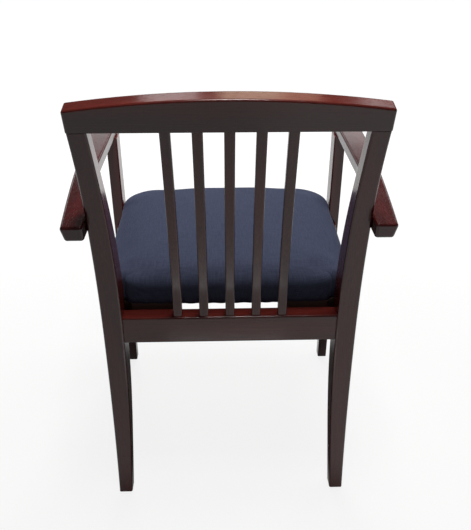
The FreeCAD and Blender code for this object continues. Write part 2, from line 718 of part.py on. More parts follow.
def pad_plate(share, low, high):
    """Flat plate of the pad's outline between two heights."""
    return Part.Face(pad_wire(share, low)).extrude(UPWARD * (high - low))


def notched(shape, skin):
    """Cut the rear corners away from the posts, by skin more than the pad's outside."""
    front = -POST_DEPTH - PAD_POST_GAP - skin
    inner = POST_INNER_X - PAD_POST_GAP - skin
    low = Vector(inner, front, SEAT_FRAME_TOP - PAD_HEIGHT)
    notch = block(low, Vector(PAD_HALF_WIDTH * 2, 0, SEAT_FRAME_TOP + PAD_HEIGHT * 2))
    return shape.cut([notch, mirrored(notch)])


def pad_stations():
    """How far the pad is drawn in at each height: tucked under, upright, shouldered and crowned."""
    edge_height = PAD_HEIGHT - PAD_CROWN
    stations = []
    for share in (0, 0.5, 1):
        stations.append((PAD_TUCK * (1 - share) ** 2, PAD_TUCK_HEIGHT * share))
    for degrees in (0, 30, 60, 90):
        angle = math.radians(degrees)
        drop = PAD_SHOULDER_HEIGHT * (1 - math.sin(angle))
        stations.append((PAD_SHOULDER * (1 - math.cos(angle)), edge_height - drop))
    widest = PAD_HALF_WIDTH - PAD_SHOULDER
    narrowest = PAD_HALF_WIDTH * PAD_CROWN_SHARE
    for step in (0.25, 0.5, 0.75, 1):
        half_width = widest + step * (narrowest - widest)
        rise = PAD_CROWN * (1 - ((half_width - narrowest) / (widest - narrowest)) ** 2)
        stations.append((PAD_HALF_WIDTH - half_width, edge_height + rise))
    return stations


def pad_form(skin):
    """The crowned pad, skin inside its outer surface."""
    wires = []
    for inset, height in pad_stations():
        z = SEAT_FRAME_TOP + skin + height * (1 - 2 * skin / PAD_HEIGHT)
        wires.append(pad_wire(1 - (inset + skin) / PAD_HALF_WIDTH, z))
    return notched(Part.makeLoft(wires, True, False, False, 3), skin)


def staple(point, way):
    """One staple pressed into the cover's underside, its legs in the board."""
    half = STAPLE_CROWN / 2
    crown = block(Vector(-half, 0, 0), Vector(half, STAPLE_WIDTH, STAPLE_WIRE))
    left = block(Vector(-half, 0, 0), Vector(-half + STAPLE_WIRE, STAPLE_WIDTH, STAPLE_LEG))
    right = block(Vector(half - STAPLE_WIRE, 0, 0), Vector(half, STAPLE_WIDTH, STAPLE_LEG))
    piece = crown.fuse([left, right]).removeSplitter()
    piece.rotate(Vector(), UPWARD, math.degrees(math.atan2(way.y, way.x)))
    piece.translate(point)
    return piece.Solids[0]


def cover_staples():
    points = pad_wire(STAPLE_SHARE, SEAT_FRAME_TOP).discretize(Number=STAPLE_COUNT + 1)
    return [staple(point, following - point) for point, following in zip(points, points[1:])]


def seat_board(holes):
    """Plywood that stands back from the notches by as much as the pad stands off the posts."""
    blank = pad_plate(BOARD_SHARE, BOARD_BOTTOM, BOARD_BOTTOM + BOARD_THICKNESS)
    board = notched(blank, PAD_POST_GAP)
    return board.cut(holes) if holes else board


def seat_foam():
    """Foam over the board and down round its edge."""
    return pad_form(COVER_THICKNESS).cut(seat_board([]))


def seat_cover(holes):
    """Fabric over the foam, turned under the board as a flange."""
    shell = pad_form(0).cut(pad_form(COVER_THICKNESS))
    window = pad_plate(FLANGE_SHARE, SEAT_FRAME_TOP, BOARD_BOTTOM)
    return shell.cut([window] + holes)


def dust_cover():
    return pad_plate(FLANGE_SHARE - DUST_COVER_GAP, BOARD_BOTTOM - DUST_COVER_THICKNESS, BOARD_BOTTOM)


def foot_glide(x, y):
    base = Vector(x, y, 0)
    disc = rod(base, base + UPWARD * GLIDE_HEIGHT, GLIDE_RADIUS)
    disc = rounded(disc, GLIDE_ROUNDING, lambda edge: edge.Closed and edge.BoundBox.ZMax < GLIDE_HEIGHT / 2)
    head_top = NAIL_HEAD_RECESS + NAIL_HEAD_HEIGHT
    recess = rod(base, base + UPWARD * head_top, NAIL_HEAD_RADIUS)
    return disc.cut([recess, rod(base, base + UPWARD * GLIDE_HEIGHT, NAIL_RADIUS)])


def glide_nail(x, y):
    head = Vector(x, y, NAIL_HEAD_RECESS)
    shank = rod(head, Vector(x, y, GLIDE_HEIGHT + NAIL_BITE), NAIL_RADIUS)
    disc = rod(head, head + UPWARD * NAIL_HEAD_HEIGHT, NAIL_HEAD_RADIUS)
    return shank.fuse(disc).removeSplitter().Solids[0]


def pairs(shapes):
    """A group of left pieces with their mirror images."""
    return Part.makeCompound(shapes + [mirrored(shape) for shape in shapes])


def chair():
    """Every piece of the chair by name."""
    front_corners, rear_corners = front_block_corners(), rear_block_corners()
    seat_ends = [seat_screw_ends(corners) for corners in (front_corners, rear_corners)]
    seat_holes = [screw_hole(seat, tip, 0) for seat, tip in seat_ends]
    seat_holes = seat_holes + [mirrored(hole) for hole in seat_holes]
    staples = cover_staples()
    left_pieces = {
        "rear_post": rear_post(),
        "side_seat_rail": side_seat_rail(),
        "front_leg": front_leg(),
        "armrest": armrest(),
        "corner_block_front": corner_block(front_corners, front_block_screws()),
        "corner_block_rear": corner_block(rear_corners, rear_block_screws()),
        "foot_glide_front": foot_glide(*FRONT_FOOT),
        "foot_glide_rear": foot_glide(*REAR_FOOT),
    }
    pieces = {
        "crest_rail": crest_rail(),
        "rear_seat_rail": rear_seat_rail(),
        "front_seat_rail": front_seat_rail(),
        "seat_board": seat_board(seat_holes + staples),
        "seat_foam": seat_foam(),
        "seat_cover": seat_cover(seat_holes + staples),
        "dust_cover": dust_cover(),
        "cover_staples": Part.makeCompound(staples),
        "crest_dowels": dowel_pins(both_sides(crest_dowel_axes())),
        "rear_rail_dowels": dowel_pins(both_sides(rear_rail_dowel_axes())),
        "side_rail_dowels": dowel_pins(both_sides(side_rail_dowel_axes())),
        "front_rail_dowels": dowel_pins(both_sides(front_rail_dowel_axes())),
        "armrest_dowels": dowel_pins(both_sides(arm_dowel_axes())),
        "armrest_screws": pairs([screw(*arm_screw_ends())]),
        "armrest_screw_plugs": pairs([arm_screw_plug()]),
        "corner_block_screws": pairs([screw(*ends) for ends in front_block_screws() + rear_block_screws()]),
        "seat_screws": pairs([screw(*ends) for ends in seat_ends]),
        "glide_nails": pairs([glide_nail(*FRONT_FOOT), glide_nail(*REAR_FOOT)]),
    }
    for number, x in enumerate(slat_places(), 1):
        pieces[f"back_slat_{number}"] = back_slat(x)
    for name, shape in left_pieces.items():
        pieces[f"{name}_left"] = shape
        pieces[f"{name}_right"] = mirrored(shape)
    return pieces


def export(pieces):
    """Centre the chair over the origin on the floor and write one file for each piece."""
    os.makedirs("parts", exist_ok=True)
    furthest = [pieces[name] for name in ("crest_rail", "rear_post_left", "armrest_left", "seat_cover")]
    middle = Part.makeCompound(furthest).optimalBoundingBox(False, False).Center
    for name, shape in pieces.items():
        shape.translate(Vector(0, -middle.y, 0))
        shape.exportStep(f"parts/{name}.step")


export(chair())
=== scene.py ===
import math
import bpy
import numpy as np
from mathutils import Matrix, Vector


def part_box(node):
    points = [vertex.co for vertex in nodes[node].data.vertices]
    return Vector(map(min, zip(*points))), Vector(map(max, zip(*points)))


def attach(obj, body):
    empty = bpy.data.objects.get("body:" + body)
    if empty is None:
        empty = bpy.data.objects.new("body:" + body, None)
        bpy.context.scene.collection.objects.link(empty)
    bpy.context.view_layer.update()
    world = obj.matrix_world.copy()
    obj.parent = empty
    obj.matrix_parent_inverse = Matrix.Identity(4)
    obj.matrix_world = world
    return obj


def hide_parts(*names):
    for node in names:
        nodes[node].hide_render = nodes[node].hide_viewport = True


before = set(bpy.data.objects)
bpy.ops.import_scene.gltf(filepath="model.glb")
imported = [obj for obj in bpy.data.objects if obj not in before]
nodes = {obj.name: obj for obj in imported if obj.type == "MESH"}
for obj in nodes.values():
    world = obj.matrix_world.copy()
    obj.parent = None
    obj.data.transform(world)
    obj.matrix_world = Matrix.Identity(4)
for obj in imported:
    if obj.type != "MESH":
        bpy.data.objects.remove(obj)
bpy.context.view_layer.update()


# Rear posts: each is one length of beech sawn to its bend, stained dark mahogany and lacquered.
# They carry the crest rail, the rear rail, the side rails and the arms on dowels and screws.
# The grain runs straight up the board that each post was sawn from.
class Socket:
    """An output of a shader node that can be used in sums, as a number can."""

    def __init__(self, tree, plug):
        self.tree = tree
        self.plug = plug

    def node(self, kind, settings, inputs, output=0):
        """Add a node: its settings first, then the values or links of its sockets."""
        made = self.tree.nodes.new(kind)
        for name, value in settings.items():
            setattr(made, name, value)
        for name, value in inputs.items():
            if isinstance(value, Socket):
                self.tree.links.new(value.plug, made.inputs[name])
            else:
                made.inputs[name].default_value = value
        return Socket(self.tree, made.outputs[output])

    def math(self, operation, first, second):
        """One Math node on two values or sockets."""
        return self.node("ShaderNodeMath", {"operation": operation}, {0: first, 1: second})

    def __add__(self, other):
        return self.math("ADD", self, other)

    def __radd__(self, other):
        return self.math("ADD", other, self)

    def __sub__(self, other):
        return self.math("SUBTRACT", self, other)

    def __rsub__(self, other):
        return self.math("SUBTRACT", other, self)

    def __mul__(self, other):
        return self.math("MULTIPLY", self, other)

    def __rmul__(self, other):
        return self.math("MULTIPLY", other, self)

    def sine(self):
        """The sine of this angle in radians."""
        return self.math("SINE", self, 0.0)

    def part(self, axis):
        """The X, Y or Z of these coordinates."""
        return self.node("ShaderNodeSeparateXYZ", {}, {"Vector": self}, axis)

    def between(self, low, high):
        """0 below low, 1 above high, and an eased step from one to the other."""
        inputs = {"Value": self, "From Min": low, "From Max": high}
        return self.node("ShaderNodeMapRange", {"interpolation_type": "SMOOTHSTEP"}, inputs)

    def mixed(self, first, second):
        """The first colour where this is 0 and the second where it is 1.

        A Mix node has its colours on sockets 6 and 7, and the mixed colour on output 2.
        """
        return self.node("ShaderNodeMix", {"data_type": "RGBA"}, {0: self, 6: first, 7: second}, 2)

    def noise(self, scale, detail, roughness=0.5):
        """Noise on these coordinates, from about 0.25 to 0.75."""
        inputs = {"Vector": self, "Scale": scale, "Detail": detail, "Roughness": roughness}
        return self.node("ShaderNodeTexNoise", {}, inputs)

    def stretched(self, scale):
        """These coordinates, multiplied by a scale for each axis."""
        return self.node("ShaderNodeMapping", {}, {"Vector": self, "Scale": scale})

    def into(self, shader, name):
        """Feed a shader's socket."""
        self.tree.links.new(self.plug, shader.inputs[name])

    def bump(self, shader, strength, distance):
        """Raise the surface of a shader by this height."""
        inputs = {"Height": self, "Strength": strength, "Distance": distance}
        self.node("ShaderNodeBump", {}, inputs).into(shader, "Normal")


def tint(red, green, blue):
    """A shader colour from the 0 to 255 values of a colour chart."""
    chart = np.array([red, green, blue]) / 255
    linear = np.where(chart <= 0.04045, chart / 12.92, ((chart + 0.055) / 1.055) ** 2.4)
    return (*linear.tolist(), 1.0)


def new_finish(name, coordinates, values):
    """A material with these fixed shader values, its shader, and its coordinates as a socket."""
    material = bpy.data.materials.new(name)
    material.use_nodes = True
    tree = material.node_tree
    shader = tree.nodes["Principled BSDF"]
    for socket_name, value in values.items():
        shader.inputs[socket_name].default_value = value
    place = Socket(tree, tree.nodes.new("ShaderNodeTexCoord").outputs[coordinates])
    return material, shader, place


# Noise cells per metre, across the grain and along it
WOOD_BANDS = (26, 1.6)
WOOD_FIBRES = (520, 9)
WOOD_PORES = (1300, 55)


def timber(name, grain, deep, pale, gloss, specular):
    """Wood from three noises, each drawn out along the grain axis, 0, 1 or 2.

    Broad bands and fine fibres mix the deep and the pale colour, and pores go back to the deep one.
    Gloss is the least roughness, which haze and pores raise. Ripples, fibres and pores shape the surface.
    """
    material, shader, place = new_finish(name, "Object", {"Specular IOR Level": specular})

    def drawn(cells):
        across, along_grain = cells
        scale = [across] * 3
        scale[grain] = along_grain
        return place.stretched(scale)

    bands = drawn(WOOD_BANDS).noise(1, detail=4, roughness=0.55).between(0.3, 0.72)
    fibres = drawn(WOOD_FIBRES).noise(1, detail=3, roughness=0.6).between(0.25, 0.75)
    pores = drawn(WOOD_PORES).noise(1, detail=1).between(0.62, 0.72)
    tone = 0.62 * bands + 0.38 * fibres
    grained = tone.mixed(deep, pale)
    (0.55 * pores).mixed(grained, deep).into(shader, "Base Color")
    haze = place.noise(7, detail=3).between(0.3, 0.7)
    (gloss + 0.07 * haze + 0.12 * pores).into(shader, "Roughness")
    ripple = place.noise(85, detail=1)
    (ripple + 0.25 * fibres - 0.3 * pores).bump(shader, strength=0.12, distance=0.0006)
    return material


MAHOGANY = {"deep": tint(70, 24, 21), "pale": tint(120, 46, 38), "gloss": 0.13, "specular": 0.32}
upright_mahogany = timber("mahogany_upright", 2, **MAHOGANY)


def finished(material, *names):
    """Give CAD pieces their finish."""
    for name in names:
        nodes[name].data.materials.clear()
        nodes[name].data.materials.append(material)


finished(upright_mahogany, "rear_post_left", "rear_post_right")

# Seat frame: a rear rail between the posts, a front rail between the legs and two side rails.
# All are stained beech on dowels, with the grain along each rail.
crosswise_mahogany = timber("mahogany_crosswise", 0, **MAHOGANY)
lengthwise_mahogany = timber("mahogany_lengthwise", 1, **MAHOGANY)
finished(crosswise_mahogany, "rear_seat_rail", "front_seat_rail")
finished(lengthwise_mahogany, "side_seat_rail_left", "side_seat_rail_right")

# Corner blocks: sawn hardwood wedges, stained with the frame but not lacquered. Their colour is much
# darker than the frame's, which is painted shade under the seat.
# Two screws hold each one across its corner, and a third goes up through it into the seat.
CORNERS = [f"{end}_{side}" for end in ("front", "rear") for side in ("left", "right")]
block_wood = timber("block_wood", 0, tint(36, 22, 18), tint(60, 38, 29), gloss=0.6, specular=0.25)
finished(block_wood, *[f"corner_block_{corner}" for corner in CORNERS])

# Back: a crest rail bowed along its top, on five slim slats tenoned into it and the rear rail.
# The crest is one thick board with its grain from post to post.
SLATS = 5
finished(crosswise_mahogany, "crest_rail")
finished(upright_mahogany, *[f"back_slat_{number}" for number in range(1, SLATS + 1)])

# Front legs and arms: the legs run past the seat up to the arms, which lie flat on them.
# Each arm is a shaped board, screwed to its post from the inside under a wooden plug.
# The arms are coloured a shade deeper than the frame: painted shade, a darker colour standing in for less
# light on them.
ARM_PAINTED_SHADE_MAHOGANY = MAHOGANY | {"deep": tint(54, 17, 18), "pale": tint(92, 31, 31)}
finished(upright_mahogany, "front_leg_left", "front_leg_right")
finished(timber("mahogany_arms_painted_shade", 1, **ARM_PAINTED_SHADE_MAHOGANY), "armrest_left", "armrest_right")
finished(crosswise_mahogany, "armrest_screw_plugs")

# Dowels: turned pins of bare beech, glued into the joints of the frame.
# They lie wholly inside the wood, so only a chair that is taken apart shows them.
DOWELLED = ("crest", "rear_rail", "side_rail", "front_rail", "armrest")
bare_beech = timber("bare_beech", 0, tint(176, 134, 92), tint(212, 176, 132), gloss=0.6, specular=0.3)
finished(bare_beech, *[f"{joint}_dowels" for joint in DOWELLED])


# Screws, staples and nails: steel wire and rod, zinc plated.
# The plating is bright, with a faint dull bloom.
def plated_steel():
    """Metal that a cloudy noise makes greyer and rougher."""
    material, shader, place = new_finish("plated_steel", "Object", {"Metallic": 1.0})
    bloom = place.noise(240, detail=3).between(0.35, 0.7)
    bloom.mixed(tint(196, 198, 200), tint(158, 160, 160)).into(shader, "Base Color")
    (0.26 + 0.2 * bloom).into(shader, "Roughness")
    return material


STEEL_PIECES = ("armrest_screws", "corner_block_screws", "seat_screws", "cover_staples", "glide_nails")
finished(plated_steel(), *STEEL_PIECES)


# Foot glides: moulded black nylon discs, one nailed under each leg.
# They are scuffed grey by the floor.
def scuffed_nylon():
    """Black that a noise of short strokes turns grey and rough, on a finely pitted surface."""
    material, shader, place = new_finish("scuffed_nylon", "Object", {})
    scuff = place.stretched((300, 300, 40)).noise(1, detail=4).between(0.52, 0.66)
    scuff.mixed(tint(38, 37, 36), tint(84, 81, 77)).into(shader, "Base Color")
    (0.42 + 0.25 * scuff).into(shader, "Roughness")
    place.noise(900, detail=2).bump(shader, strength=0.15, distance=0.0003)
    return material


finished(scuffed_nylon(), *[f"foot_glide_{corner}" for corner in CORNERS])

# Seat board: a plywood panel inside the cover, which carries the foam and takes the staples.
# The cover and the dust cover hide it.
plywood = timber("seat_plywood", 1, tint(168, 130, 88), tint(205, 170, 124), gloss=0.65, specular=0.25)
finished(plywood, "seat_board")


# Dust cover: thin black non-woven cloth under the seat, with a pressed dot pattern.
# It lies inside the cover's turned-under edge.
def pressed_cloth():
    """Tangled strands, from noise, and pressed dots, from the cells of a Voronoi pattern."""
    material, shader, place = new_finish("pressed_cloth", "Object", {"Specular IOR Level": 0.2})
    cells = place.node("ShaderNodeTexVoronoi", {}, {"Vector": place, "Scale": 420.0})
    dots = cells.between(0.15, 0.45)
    strands = place.noise(700, detail=4, roughness=0.7).between(0.35, 0.7)
    (0.6 * strands + 0.4 * dots).mixed(tint(24, 24, 26), tint(52, 52, 54)).into(shader, "Base Color")
    (0.8 + 0.1 * dots).into(shader, "Roughness")
    (dots + 0.5 * strands).bump(shader, strength=0.4, distance=0.0004)
    return material


finished(pressed_cloth(), "dust_cover")

# Seat pad: foam under a plain woven navy cover, drawn tight over the edges and stapled below.
# It is notched round the rear posts, rolls over its edges and has a low crown.
# The cover is one sheet from the crown, down the sides and in under the board.
pad_low, pad_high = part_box("seat_cover")
leg_low, leg_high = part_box("front_leg_left")
post_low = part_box("rear_post_left")[0]
dust_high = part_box("dust_cover")[1]
PAD_SIDE_SWELL = 0.0065
PAD_FRONT_SWELL = 0.0038
PAD_REAR_DRAW = 0.0022
PAD_SHIFT = 0.0018
PAD_FRONT_CORNER = 0.074
PAD_FRONT_BOW = 0.015
PAD_FRONT_SWEEP = 1.0
PAD_REAR_CORNER = 0.02
PAD_REAR_TAPER = 0.014
PAD_POST_GAP = 0.0025
PAD_POST_REACH = 0.017
PAD_NOTCH_CORNER = 0.016
PAD_NOTCH_INNER = 0.007
PAD_CROWN = 0.007
PAD_BARREL = 0.0058
PAD_SHOULDER = 0.036
PAD_SHOULDER_HEIGHT = 0.026
PAD_TUCK = 0.002
PAD_TUCK_HEIGHT = 0.01
PAD_HEM_DROP = 0.0075
PAD_HEM_REACH = 0.006
STAPLE_PULL = 0.0011
STAPLES_PER_SIDE = 9
PUCKER_HEIGHT = 0.022
pad_half = pad_high.x + PAD_SIDE_SWELL
pad_rear = pad_high.y - PAD_REAR_DRAW
pad_front = pad_low.y - PAD_FRONT_SWELL
pad_middle = (pad_rear + pad_front) / 2
ARC_POINTS = 25
CROWN_POINTS = 60
SHOULDER_POINTS = 24
TUCK_POINTS = 14
PAD_STEPS = 55


def eased_path(points, radii):
    """Points along a path whose corners are arcs that touch the two straight runs they join."""
    path = [np.array([points[0]])]
    for before, corner, after, radius in zip(points, points[1:], points[2:], radii):
        back, ahead = np.subtract(before, corner), np.subtract(after, corner)
        back, ahead = back / np.linalg.norm(back), ahead / np.linalg.norm(ahead)
        half = math.acos(np.clip(back @ ahead, -1, 1)) / 2
        bisector = (back + ahead) / np.linalg.norm(back + ahead)
        centre = np.array(corner) + bisector * radius / math.sin(half)
        swing = np.linspace(-1, 1, ARC_POINTS)[:, None] * (math.pi / 2 - half)
        side = (ahead - back) / np.linalg.norm(ahead - back)
        path.append(centre + radius * (side * np.sin(swing) - bisector * np.cos(swing)))
    return np.vstack(path + [np.array([points[-1]])])


def along(path, share):
    """Points at shares of a path's length."""
    steps = np.linalg.norm(np.diff(path, axis=0), axis=1)
    length = np.concatenate([[0], np.cumsum(steps)])
    columns = [np.interp(share * length[-1], length, column) for column in path.T]
    return np.stack(columns, -1)


def half_outlines():
    """The pad's left edge in plan, with and without the notch, as its rear, side and front runs.

    The runs meet in the middle of the rear corner and of the front corner, where the square grid
    that the cover is drawn on has its own corners. The front is bowed by one wide arc on each side.
    """
    notch_x, notch_y = post_low.x - PAD_POST_GAP, post_low.y - PAD_POST_GAP
    front_side = (pad_half, pad_front + PAD_FRONT_BOW)
    front_flat = [(pad_half / 2, pad_front), (0, pad_front)]
    rear_side = (pad_half - PAD_REAR_TAPER, pad_rear)
    taper_share = (notch_y - front_side[1]) / (pad_rear - front_side[1])
    notch_side = (pad_half - PAD_REAR_TAPER * taper_share, notch_y)
    notched = [(0, pad_rear), (notch_x, pad_rear), (notch_x, notch_y), notch_side, front_side, *front_flat]
    plain = [(0, pad_rear), rear_side, front_side, *front_flat]
    side_corners = [PAD_REAR_CORNER, PAD_FRONT_CORNER, PAD_FRONT_SWEEP]
    notched = eased_path(notched, [PAD_NOTCH_CORNER, PAD_NOTCH_INNER, *side_corners])
    plain = eased_path(plain, side_corners)
    runs = []
    for path, rear in ((notched, notch_side), (plain, rear_side)):
        rear_turn, front_turn = (np.abs(path - turn).sum(axis=1).argmin() for turn in (rear, front_side))
        runs.append((path[: rear_turn + 1], path[rear_turn: front_turn + 1], path[front_turn:]))
    return runs


def pad_section():
    """Inset and height of the cover from the crown's middle, over the shoulder, down and in under.

    The crown is a parabola. The shoulder is an elliptic arc that starts at the parabola's last slope.
    """
    edge = pad_high.z - pad_low.z - PAD_CROWN
    slope = 2 * PAD_CROWN / (pad_half - PAD_SHOULDER)
    first_turn = math.atan(slope * PAD_SHOULDER / PAD_SHOULDER_HEIGHT)
    inset = np.linspace(pad_half, PAD_SHOULDER * (1 - math.sin(first_turn)), CROWN_POINTS)
    reach = (pad_half - inset) / (pad_half - inset[-1])
    edge_drop = PAD_SHOULDER_HEIGHT * (1 - math.cos(first_turn))
    crown = np.stack([inset, edge - edge_drop + PAD_CROWN * (1 - reach ** 2)], -1)
    turn = np.linspace(first_turn, math.pi / 2, SHOULDER_POINTS)[1:]
    roll_height = edge - PAD_SHOULDER_HEIGHT * (1 - np.cos(turn))
    shoulder = np.stack([PAD_SHOULDER * (1 - np.sin(turn)), roll_height], -1)
    fall = np.linspace(1, 0, TUCK_POINTS)
    tuck = np.stack([PAD_TUCK * (1 - fall) ** 2, PAD_TUCK_HEIGHT * fall], -1)
    window = pad_half - dust_high.x
    flange = [(window, 0), (window, dust_high.z - pad_low.z)]
    return np.vstack([crown, shoulder, tuck, flange])


def pad_cover():
    """The cover over a square grid: each square ring of it is the pad's outline, drawn in.

    A grid point's ring is the larger of its two distances from the middle, and says how far along the
    pad's section it lies. Its place on the ring says where it lies along the outline. The notch fades
    out towards the crown, which rises a little more to the middle line. The edge rolls over less where
    a post presses on it. The lower edge is pulled in at each staple, and hangs a little lower at the
    rear. The whole pad lies slightly to the sitter's left.
    """
    steps = np.linspace(-1, 1, 2 * PAD_STEPS + 1)
    across, back = np.meshgrid(steps, steps, indexing="ij")
    ring = np.maximum(np.abs(across), np.abs(back))
    divisor = np.where(ring == 0, 1, ring)
    section = along(pad_section(), ring)
    inset, height = section[..., 0], section[..., 1]
    on_side = np.abs(across) >= np.abs(back)
    on_rear = ~on_side & (back > 0)
    side_share = (1 - back / divisor) / 2
    cross_share = np.abs(across) / divisor
    outlines = []
    for rear, side, front in half_outlines():
        edge = np.where(on_side[..., None], along(side, side_share), along(front, 1 - cross_share))
        edge = np.where(on_rear[..., None], along(rear, cross_share), edge)
        outlines.append(edge * np.stack([np.where(across < 0, -1, 1), np.ones_like(across)], -1))
    notch = np.clip(1 - inset / PAD_SHOULDER, 0, 1)[..., None]
    notch = notch * notch * (3 - 2 * notch)
    outline = outlines[0] * notch + outlines[1] * (1 - notch)
    place = np.where(on_side, side_share, cross_share)
    low = np.clip(1 - height / PUCKER_HEIGHT, 0, 1) ** 2 * (inset < PAD_SHOULDER)
    pull = STAPLE_PULL * low * (0.5 + 0.5 * np.cos(2 * math.pi * STAPLES_PER_SIDE * place))
    share = (1 - (inset + pull) / pad_half)[..., None]
    middle = np.array([0, pad_middle])
    plan = middle + (outline - middle) * share
    post_space = np.stack([np.abs(plan[..., 0]) - post_low.x, plan[..., 1] - post_low.y], -1)
    near_post = np.exp(-((post_space / PAD_POST_REACH) ** 2).sum(axis=-1) / 2)
    top = height.max() - PAD_CROWN
    depth = np.clip(1 - height / top, 0, 1)
    height = height + top * (depth - depth ** (1 + near_post))
    barrel = PAD_BARREL * (1 - (plan[..., 0] / pad_half) ** 2) * (height / height.max()) ** 2
    behind = np.clip(1 - (pad_rear - plan[..., 1]) / PAD_HEM_REACH, 0, 1)
    hem = PAD_HEM_DROP * behind * np.clip(1 - height / PAD_TUCK_HEIGHT, 0, 1)
    plan[..., 0] += PAD_SHIFT
    points = np.concatenate([plan, (pad_low.z + height + barrel - hem)[..., None]], -1)
    return points, ring, height


def quads_of(number):
    """Corner numbers of the quads of a grid of numbered points."""
    corners = [number[:-1, :-1], number[1:, :-1], number[1:, 1:], number[:-1, 1:]]
    return np.stack([corner.ravel() for corner in corners], -1)


def closed_below(top, floor_z):
    """The grid's points and quads with a flat grid under them, which shares the top grid's edge points.

    The flat grid's square rings are the edge, drawn in evenly to its middle.
    """
    count = len(top)
    number = np.arange(count * count).reshape(count, count)
    steps = np.linspace(-1, 1, count)
    across, back = np.meshgrid(steps, steps, indexing="ij")
    ring = np.maximum(np.abs(across), np.abs(back))
    inside = ring < 1 - 0.5 / count
    divisor = np.where(ring == 0, 1, ring)
    last = count - 1
    column = np.rint((across / divisor + 1) / 2 * last).astype(int)
    row = np.rint((back / divisor + 1) / 2 * last).astype(int)
    edge = top[column, row]
    middle = top[[0, 0, -1, -1], [0, -1, 0, -1]].mean(axis=0)
    below = middle + (edge - middle) * ring[..., None]
    below[..., 2] = floor_z
    below_number = number.copy()
    below_number[inside] = count * count + np.arange(inside.sum())
    points = np.vstack([top.reshape(-1, 3), below[inside]])
    return points, np.vstack([quads_of(number), quads_of(below_number)[:, ::-1]])


def new_piece(name, points, faces):
    """A smooth-shaded mesh object at the origin, from its points and the corners of its faces."""
    mesh = bpy.data.meshes.new(name)
    mesh.from_pydata(points.reshape(-1, 3).tolist(), [], faces)
    mesh.polygons.foreach_set("use_smooth", np.ones(len(mesh.polygons), bool))
    piece = bpy.data.objects.new(name, mesh)
    bpy.context.scene.collection.objects.link(piece)
    return piece


PAD_PRESSURE = 4.0
PAD_FRAMES = 20
PAD_SMOOTHING = 40
PAD_SWELL_LIMIT = 0.006
CLOTH_STIFFNESS = 30
CLOTH_BENDING = 4
CLOTH_POINT_MASS = 0.3
CLOTH_STEPS = 6


def swollen(points, held):
    """The cover's points after foam pressure swells it, with the held points fixed to the board.

    The swelling is smoothed over the sheet, as taut cloth is, and no point moves past a limit.
    """
    quads = quads_of(np.arange(len(points) ** 2).reshape(len(points), -1))
    cloth_piece = new_piece("cover_under_pressure", points, quads.tolist())
    group = cloth_piece.vertex_groups.new(name="stapled")
    group.add(np.flatnonzero(held).tolist(), 1.0, "REPLACE")
    cloth = cloth_piece.modifiers.new("cloth", "CLOTH")
    settings = cloth.settings
    settings.quality = CLOTH_STEPS
    settings.mass = CLOTH_POINT_MASS
    settings.tension_stiffness = CLOTH_STIFFNESS
    settings.compression_stiffness = CLOTH_STIFFNESS
    settings.shear_stiffness = CLOTH_STIFFNESS
    settings.bending_stiffness = CLOTH_BENDING
    settings.use_pressure = True
    settings.uniform_pressure_force = PAD_PRESSURE
    settings.vertex_group_mass = group.name
    settings.effector_weights.gravity = 0
    cloth.point_cache.frame_start, cloth.point_cache.frame_end = 1, PAD_FRAMES
    for number in range(1, PAD_FRAMES + 1):
        bpy.context.scene.frame_set(number)
    evaluated = cloth_piece.evaluated_get(bpy.context.evaluated_depsgraph_get())
    moved = np.empty(points.size)
    evaluated.data.vertices.foreach_get("co", moved)
    step = moved.reshape(points.shape) - points
    bpy.data.objects.remove(cloth_piece)
    bpy.context.scene.frame_set(1)
    for _ in range(PAD_SMOOTHING):
        inner = step[1:-1, 1:-1]
        inner += (step[:-2, 1:-1] + step[2:, 1:-1] + step[1:-1, :-2] + step[1:-1, 2:] - 4 * inner) / 6
    distance = np.linalg.norm(step, axis=-1, keepdims=True)
    return points + step * np.minimum(1, PAD_SWELL_LIMIT / np.maximum(distance, 1e-9))


PAD_LEG_EASE = 0.03
PAD_LEG_GAP = 0.0003


def held_by_legs(points):
    """The points with their sides no wider than the front legs allow, which eases off behind the legs."""
    behind = np.clip((points[..., 1] - leg_high.y - PAD_LEG_GAP) / PAD_LEG_EASE, 0, 1)
    limit = leg_low.x - PAD_LEG_GAP + PAD_LEG_EASE * behind ** 2
    held = points.copy()
    held[..., 0] = np.clip(held[..., 0], -limit, limit)
    return held


cover_points, cover_ring, cover_height = pad_cover()
grid_size = len(cover_points)
stapled = (cover_height < PAD_TUCK_HEIGHT / 4) & (cover_ring > 0.5)
cover_points = swollen(cover_points, stapled)
cover_points = held_by_legs(cover_points)
pad_points, pad_quads = closed_below(cover_points, dust_high.z)
cover = new_piece("seat_cover_cloth", pad_points, pad_quads.tolist())

# The cover's UV map is its flat sheet in metres, and the underside's is its plan
sheet_half = np.linalg.norm(np.diff(pad_section(), axis=0), axis=1).sum()
sheet_steps = np.linspace(-1, 1, grid_size) * sheet_half
sheet_grid = np.stack(np.meshgrid(sheet_steps, sheet_steps, indexing="ij"), -1)
sheet_place = pad_points[:, :2].copy()
sheet_place[: grid_size ** 2] = sheet_grid.reshape(-1, 2)
corner_points = np.empty(len(cover.data.loops), np.int32)
cover.data.loops.foreach_get("vertex_index", corner_points)
uv = cover.data.uv_layers.new(name="sheet")
uv.data.foreach_set("uv", sheet_place[corner_points].ravel())
smoothing = cover.modifiers.new("smoothing", "SUBSURF")
smoothing.levels = smoothing.render_levels = 1

THREAD_PITCH = 0.0012
SLUB_ACROSS, SLUB_ALONG = 620, 26
CLOTH_SHEEN = {
    "Specular IOR Level": 0.1,
    "Sheen Weight": 0.3,
    "Sheen Roughness": 0.45,
    "Sheen Tint": tint(150, 160, 196),
}


